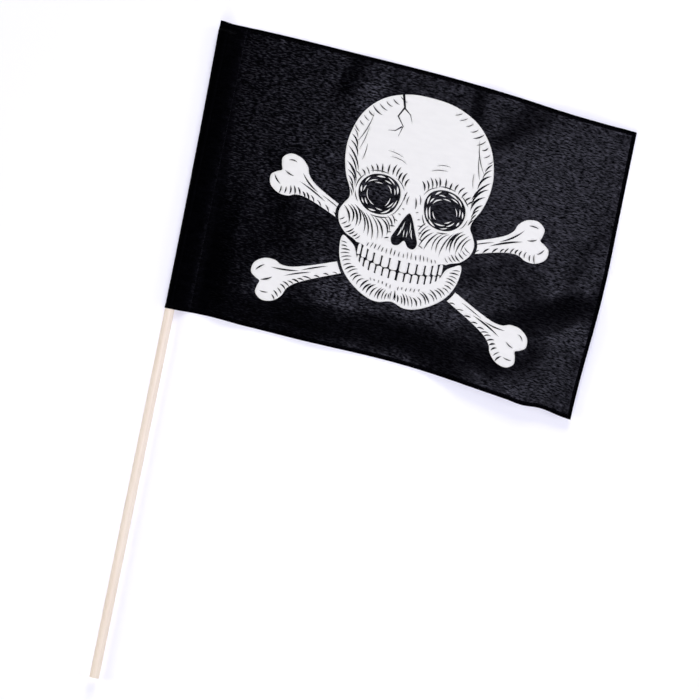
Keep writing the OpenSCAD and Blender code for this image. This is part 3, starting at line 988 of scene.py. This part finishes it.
def add_sheen(g, shader, weave, uv):
    """The coat's weight from the slubs, from soft patches and from the distance to the seam."""
    out, up, _ = g.add("ShaderNodeSeparateXYZ", {0: uv}).outputs
    outwards = g.remap(out, SEAM_AT * MM, FAR_OUT * CLOTH_WIDTH * MM, 0.0, 1.0)
    start = g.math("MULTIPLY_ADD", outwards, SHEEN_FAR - SHEEN_NEAR, SHEEN_NEAR)
    shine = g.remap(weave.outputs["Slub"], start, SHEEN_FULL, 0.0, 1.0)
    shine = g.math("MULTIPLY", shine, g.math("MULTIPLY_ADD", outwards, FAR_SHARE - 1.0, 1.0))
    patches = g.remap(weave.outputs["Cloud"], *SHEEN_PATCHES)
    free_from = g.remap(up, 0.0, HOIST * MM, (SEAM_AT + FREE_AT_FOOT) * MM, (SEAM_AT + FREE_AT_TOP) * MM)
    free = g.remap(g.math("SUBTRACT", out, free_from), 0.0, FREE_OVER * MM, HELD_SHARE, 1.0)
    weight = g.math("MULTIPLY", g.math("MULTIPLY", shine, patches), free)
    g.join(shader, {"Coat Weight": weight, "Coat Roughness": COAT_ROUGHNESS})


def cloth_material(name, colour, slub_colour, roughness, specular, slub_amount, sheen=False, ghost=0.0):
    """Cloth with the weave group. The ghost is how much of the ink shows on the other face."""
    material, shader = new_material(name)
    g = Graph(material.node_tree)
    uv = g.out("ShaderNodeUVMap", uv_map="cloth")
    weave = g.add("ShaderNodeGroup", node_tree=WEAVE)
    g.join(weave, {"Vector": uv, "Slub Amount": slub_amount})
    tone = g.blend(g.remap(weave.outputs["Cloud"], *MOTTLE), colour, slub_colour)
    if ghost:
        ink = g.add("ShaderNodeAttribute", attribute_name="ink_behind").outputs["Fac"]
        tone = g.blend(g.math("MULTIPLY", ink, ghost), tone, GHOST_TONE)
    rough = g.remap(weave.outputs["Slub"], *SLUB_RANGE, *roughness)
    bump = g.out("ShaderNodeBump", {"Height": weave.outputs["Height"], "Strength": 1.0, "Distance": RELIEF})
    g.join(shader, {"Base Color": tone, "Roughness": rough, "Normal": bump})
    set_inputs(shader, {"Specular IOR Level": specular, "Specular Tint": SPECULAR_TINT})
    if sheen:
        add_sheen(g, shader, weave, uv)
    return material


# The single cloth and the doubled cloth of hems and tunnel are lit and shaded copies: the doubled one's darker
# tone is painted shade, where less light shows through two layers; its lower gloss and missing sheen are set
# on its shader
SINGLE_LIT = cloth_material(
    "black_polyester_single_lit", (0.0003, 0.0003, 0.0005, 1), (0.002, 0.002, 0.003, 1),
    roughness=(0.3, 0.5), specular=0.02, slub_amount=1.6, sheen=True, ghost=0.05,
)
DOUBLED_SHADED = cloth_material(
    "black_polyester_doubled_shaded", (0.0003, 0.0003, 0.0004, 1), (0.001, 0.001, 0.0015, 1),
    roughness=(0.4, 0.6), specular=0.01, slub_amount=0.4,
)
INK = cloth_material(
    "white_ink", (0.83, 0.825, 0.77, 1), (0.76, 0.755, 0.705, 1),
    roughness=(0.7, 0.8), specular=0.15, slub_amount=0.1,
)

# %% Build the cloth and its print
verts, faces, flat, ink_behind = cloth_mesh(cloth_points, cloth_triangles, cloth_white)
# Hems and tunnel take the darker copy of the cloth: painted shade where less light shows through
layers = doubled_face(cloth_points[cloth_triangles].mean(axis=1))
rim_count = len(faces) - 2 * len(cloth_triangles)
material_index = np.concatenate([layers, layers, np.ones(rim_count)])
cloth = make_piece("flag_cloth_sewn", verts, faces, (SINGLE_LIT, DOUBLED_SHADED), flat, material_index)
attribute = cloth.data.attributes.new("ink_behind", "FLOAT", "POINT")
attribute.data.foreach_set("value", ink_behind.astype(np.float32))
print(f"{cloth.name}: {len(faces)} faces")

INK_TOP = 0.04  # over the cloth's face
INK_SOAKED = 0.02  # under it


def ink_mesh(points, triangles):
    """The white fields as a thin closed layer, soaked a little into the cloth's outer face."""
    used = np.unique(triangles)
    place = np.zeros(len(points), dtype=int)
    place[used] = np.arange(len(used))
    triangles = place[triangles]
    points = points[used]
    outer, _, _, _, normal = both_faces(points[:, 0], points[:, 1])
    count = len(points)
    faces = two_sides(triangles, count)
    faces += [(b, a, a + count, b + count) for a, b in boundary_edges(triangles).tolist()]
    verts = np.vstack([outer + INK_TOP * normal, outer - INK_SOAKED * normal])
    return verts, faces, np.vstack([points, points])


verts, faces, flat = ink_mesh(cloth_points, cloth_triangles[cloth_white])
ink = make_piece("skull_print_ink", verts, faces, (INK,), flat)
print(f"{ink.name}: {len(faces)} faces")

# %% [markdown]
# ## Lockstitches with Geometry Nodes
# The hems and the tunnel are sewn with black thread, one stitch each 3 mm. A stitch is a short piece
# of thread that dips into the cloth at both ends. The node tree resamples each seam's path, puts one
# stitch on each point and turns it along the seam, out of the face it lies on. The result is baked to
# a plain mesh, as the modifier isn't wanted any more.

# %% The stitch tree
DIP_SHARE = 0.6


def stitch_tree():
    inputs = {
        "Seam": "Geometry", "Pitch": 0.003, "Stitch Length": 0.0026, "Thread Diameter": 0.0002,
        "Rise": 0.0002, "Unevenness": 0.12, "Seed": 7, "Thread Material": "Material",
    }
    tree, g, ins, outs = new_group("lockstitch_row", "GeometryNodeTree", inputs, ("Stitches",), "Geometry")
    half = g.math("DIVIDE", ins["Stitch Length"], 2.0)
    dip = g.math("MULTIPLY", ins["Thread Diameter"], -DIP_SHARE)
    start = g.out("ShaderNodeCombineXYZ", {0: g.math("MULTIPLY", half, -1.0), 2: dip})
    top = g.out("ShaderNodeCombineXYZ", {2: ins["Rise"]})
    end = g.out("ShaderNodeCombineXYZ", {0: half, 2: dip})
    bend = {"Resolution": 4, "Start": start, "Middle": top, "End": end}
    arch = g.out("GeometryNodeCurveQuadraticBezier", bend)
    radius = g.math("DIVIDE", ins["Thread Diameter"], 2.0)
    circle = g.out("GeometryNodeCurvePrimitiveCircle", {"Resolution": 6, "Radius": radius})
    thread = g.out("GeometryNodeCurveToMesh", {"Curve": arch, "Profile Curve": circle, "Fill Caps": True})
    path = g.out("GeometryNodeMeshToCurve", {"Mesh": ins["Seam"]})
    spots = g.out("GeometryNodeResampleCurve", {"Curve": path, "Length": ins["Pitch"]}, mode="LENGTH")
    tangent = g.out("GeometryNodeInputTangent")
    face_up = g.out("GeometryNodeInputNamedAttribute", {"Name": "face_up"}, data_type="FLOAT_VECTOR")
    turn = g.out("FunctionNodeAlignRotationToVector", {"Vector": tangent}, axis="X")
    facing = {"Rotation": turn, "Vector": face_up}
    turn = g.out("FunctionNodeAlignRotationToVector", facing, axis="Z", pivot_axis="X")
    low = g.math("SUBTRACT", 1.0, ins["Unevenness"])
    size = g.add("FunctionNodeRandomValue", {2: low, 3: 1.0, "Seed": ins["Seed"]}, data_type="FLOAT")
    scale = g.out("ShaderNodeCombineXYZ", {0: size.outputs[1], 1: 1.0, 2: 1.0})
    stitches = {"Points": spots, "Instance": thread, "Rotation": turn, "Scale": scale}
    row = g.out("GeometryNodeInstanceOnPoints", stitches)
    real = g.out("GeometryNodeRealizeInstances", {0: row})
    made = g.out("GeometryNodeSetMaterial", {"Geometry": real, "Material": ins["Thread Material"]})
    g.feed(outs["Stitches"], made)
    return tree


# %% Seams to sew, as lines on the flat cloth
STITCH_INSET = 3.0
SEAM_STEP = 2.0
THREAD_SEED = 11
# The hems' stitches start past the layers that lie on the table or on each other
PAST_UNDER, PAST_FOLD, PAST_SEAM = 5, 2, 9


def seam_line(corners):
    """Points every few millimetres along straight stretches of the flat cloth."""
    line = [np.array(corners[:1], float)]
    for a, b in zip(corners, corners[1:]):
        count = max(1, round(math.dist(a, b) / SEAM_STEP))
        t = np.arange(1, count + 1)[:, None] / count
        line.append(mix(np.array(a, float), np.array(b, float), t))
    return np.vstack(line)


foot, top = STITCH_INSET, HOIST - STITCH_INSET
fly_end = CLOTH_WIDTH - STITCH_INSET
inner_start = SEAM_AT + ALLOWANCE + PAST_SEAM
free_sides = ((fly_end, foot), (fly_end, top))
SEAMS = [
    (((UNDER_LENGTH + PAST_UNDER, foot), *free_sides, (FOLD_AT + PAST_FOLD, top)), "outer"),
    (((inner_start, foot), *free_sides, (inner_start, top)), "inner"),
    (((SEAM_AT, 1), (SEAM_AT, HOIST - 1)), "outer"),
    (((ALLOWANCE, 1), (ALLOWANCE, HOIST - 1)), "outer"),
]


def sew():
    """All seams in one mesh of lines, sewn by the node tree and baked to one piece."""
    verts, edges, ups = [], [], []
    for corners, face in SEAMS:
        line = seam_line(corners)
        outer, inner, _, _, normal = both_faces(line[:, 0], line[:, 1])
        start = sum(len(v) for v in verts)
        verts.append(outer if face == "outer" else inner)
        ups.append(normal if face == "outer" else -normal)
        edges += [(start + i, start + i + 1) for i in range(len(line) - 1)]
    mesh = bpy.data.meshes.new("seam_lines")
    mesh.from_pydata(to_world(np.vstack(verts)).tolist(), edges, [])
    face_up = mesh.attributes.new("face_up", "FLOAT_VECTOR", "POINT")
    face_up.data.foreach_set("vector", np.vstack(ups).astype(np.float32).ravel())
    lines = put("seam_lines", mesh)
    tree = stitch_tree()
    modifier = lines.modifiers.new("sew", "NODES")
    modifier.node_group = tree
    sockets = {item.name: item.identifier for item in tree.interface.items_tree if item.in_out == "INPUT"}
    modifier[sockets["Thread Material"]] = THREAD
    modifier[sockets["Seed"]] = THREAD_SEED
    bpy.context.view_layer.update()
    graph = bpy.context.evaluated_depsgraph_get()
    baked = bpy.data.meshes.new_from_object(lines.evaluated_get(graph), depsgraph=graph)
    bpy.data.objects.remove(lines)
    baked.name = "sewing_thread"
    baked.materials.clear()
    baked.materials.append(THREAD)
    baked.polygons.foreach_set("material_index", [0] * len(baked.polygons))
    baked.shade_smooth()
    return put("sewing_thread", baked)


FLECK_SCALE = 4000.0
THREAD_TONES = (0.001, 0.001, 0.0012, 1), (0.004, 0.004, 0.005, 1)


def thread_material():
    material, shader = new_material("black_thread")
    g = Graph(material.node_tree)
    fleck = g.noise(g.add("ShaderNodeTexCoord").outputs["Object"], FLECK_SCALE, 2.0)
    g.join(shader, {"Base Color": g.blend(fleck, *THREAD_TONES), "Roughness": 0.5, "Specular IOR Level": 0.15})
    return material


THREAD = thread_material()
thread = sew()
print(f"{thread.name}: {len(thread.data.polygons)} faces")

# %% [markdown]
# ## The stick
# The stick is a machine-turned dowel of pale wood, bare and finely sanded, with sawn ends whose edges
# are just broken. It is a lathe shape. Its grain is a solid pattern: growth rings round a pith that
# lies beside the stick, drawn out along it, so the long side shows streaks and the sawn end shows arcs.

# %% Wood
PITH_X, PITH_Z = 0.011, -0.017
WANDER, WANDER_SCALE = 0.0012, (90, 7, 90)
WOOD_CLOUD = (220, 9, 220)
RING_SHARPNESS = 3.0
LIGHT_WOOD, DARK_WOOD = (0.93, 0.83, 0.685, 1), (0.885, 0.77, 0.625, 1)
RING_TONE, RING_SHARE = (0.74, 0.60, 0.455, 1), 0.35
PORE_TONE, PORE_SHARE = (0.60, 0.46, 0.335, 1), 0.22
PORE_RANGE = (0.52, 0.72, 0.0, 1.0)
WOOD_ROUGHNESS = (0.5, 0.65)
GRAIN_STRENGTH, GRAIN_DEPTH = 0.4, 0.00005


def wood_group():
    inputs = {"Vector": "Vector", "Ring Spacing": 0.0016, "Pore Length": 0.012, "Pore Width": 0.00025}
    tree, g, ins, outs = new_group("pale_wood_grain", "ShaderNodeTree", inputs, ("Ring", "Pore", "Cloud"))
    wander = g.noise(g.stretched(ins["Vector"], *WANDER_SCALE), 1.0, 2.0, 0.5, "Color")
    shift = g.vector("MULTIPLY", wander, (WANDER, 0.0, WANDER))
    bent = g.vector("ADD", ins["Vector"], shift)
    x, _, z = g.add("ShaderNodeSeparateXYZ", {0: bent}).outputs
    offsets = (g.math("SUBTRACT", x, PITH_X), g.math("SUBTRACT", z, PITH_Z))
    squares = (g.math("POWER", offset, 2.0) for offset in offsets)
    from_pith = g.math("SQRT", g.math("ADD", *squares))
    turns = g.math("FRACT", g.math("DIVIDE", from_pith, ins["Ring Spacing"]))
    g.feed(outs["Ring"], g.math("POWER", turns, RING_SHARPNESS))
    across = g.math("DIVIDE", 1.0, ins["Pore Width"])
    run = g.math("DIVIDE", 1.0, ins["Pore Length"])
    scale = g.out("ShaderNodeCombineXYZ", {0: across, 1: run, 2: across})
    fine = g.vector("MULTIPLY", ins["Vector"], scale)
    g.feed(outs["Pore"], g.remap(g.noise(fine, 1.0, 1.0), *PORE_RANGE))
    g.feed(outs["Cloud"], g.noise(g.stretched(ins["Vector"], *WOOD_CLOUD), 1.0, 2.0))
    return tree


def wood_material():
    material, shader = new_material("pale_wood")
    g = Graph(material.node_tree)
    place = (-AXIS_X * MM, -stick_low[1] * MM, -AXIS_Z * MM)
    where = g.add("ShaderNodeTexCoord").outputs["Object"]
    centred = g.out("ShaderNodeMapping", {"Vector": where, "Location": place})
    grain = g.add("ShaderNodeGroup", node_tree=wood_group())
    g.feed(grain.inputs["Vector"], centred)
    tone = g.blend(g.remap(grain.outputs["Cloud"], 0.3, 0.7, 0, 1), DARK_WOOD, LIGHT_WOOD)
    tone = g.blend(g.math("MULTIPLY", grain.outputs["Ring"], RING_SHARE), tone, RING_TONE)
    tone = g.blend(g.math("MULTIPLY", grain.outputs["Pore"], PORE_SHARE), tone, PORE_TONE)
    rough = g.remap(grain.outputs["Pore"], 0, 1, *WOOD_ROUGHNESS)
    height = g.math("SUBTRACT", 1.0, grain.outputs["Pore"])
    bump = g.out("ShaderNodeBump", {"Height": height, "Strength": GRAIN_STRENGTH, "Distance": GRAIN_DEPTH})
    g.join(shader, {"Base Color": tone, "Roughness": rough, "Normal": bump})
    set_inputs(shader, {"Specular IOR Level": 0.3})
    return material


ROUND_STEPS = 64
LENGTH_STEPS = 40
BREAK = 0.6
# The sawn end as radius and distance from the end, from the middle out to the broken edge
END_PROFILE = [(STICK_R * 0.5, 0.0), (STICK_R - BREAK, 0.0), (STICK_R - 0.25, 0.12), (STICK_R, BREAK)]


def stick_mesh():
    """A lathe shape along +Y: rings of points, and one point in the middle of each end."""
    low, high = stick_low[1] - FOOT_Y, stick_high[1] - FOOT_Y
    side = high - low - 2 * BREAK
    stations = [(r, low + y) for r, y in END_PROFILE]
    stations += [(STICK_R, low + BREAK + side * k / LENGTH_STEPS) for k in range(1, LENGTH_STEPS)]
    stations += [(r, high - y) for r, y in reversed(END_PROFILE)]
    angles = np.arange(ROUND_STEPS) * 2 * math.pi / ROUND_STEPS
    verts = [np.array([[0.0, low, AXIS_Z], [0.0, high, AXIS_Z]])]
    for r, y in stations:
        ring = [r * np.cos(angles), np.full(ROUND_STEPS, y), AXIS_Z + r * np.sin(angles)]
        verts.append(np.stack(ring, axis=1))
    faces = []
    last = 2 + (len(stations) - 1) * ROUND_STEPS
    for i in range(ROUND_STEPS):
        j = (i + 1) % ROUND_STEPS
        faces.append((0, 2 + i, 2 + j))
        faces.append((1, last + j, last + i))
        for k in range(len(stations) - 1):
            row = 2 + k * ROUND_STEPS
            faces.append((row + i, row + ROUND_STEPS + i, row + ROUND_STEPS + j, row + j))
    return np.vstack(verts), faces


verts, faces = stick_mesh()
stick = make_piece("stick_dowel", verts, faces, (wood_material(),))
print(f"{stick.name}: {len(faces)} faces")

# %% [markdown]
# ## The pieces' body
# Every piece is hung on the root body, and the solid model's stick, cloth and print are hidden, so that
# the pieces take their place.

# %% Hang the pieces and hide the solids
for piece in (cloth, ink, thread, stick):
    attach(piece, "root")
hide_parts("stick")
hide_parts("flag_cloth")
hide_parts("skull_print")
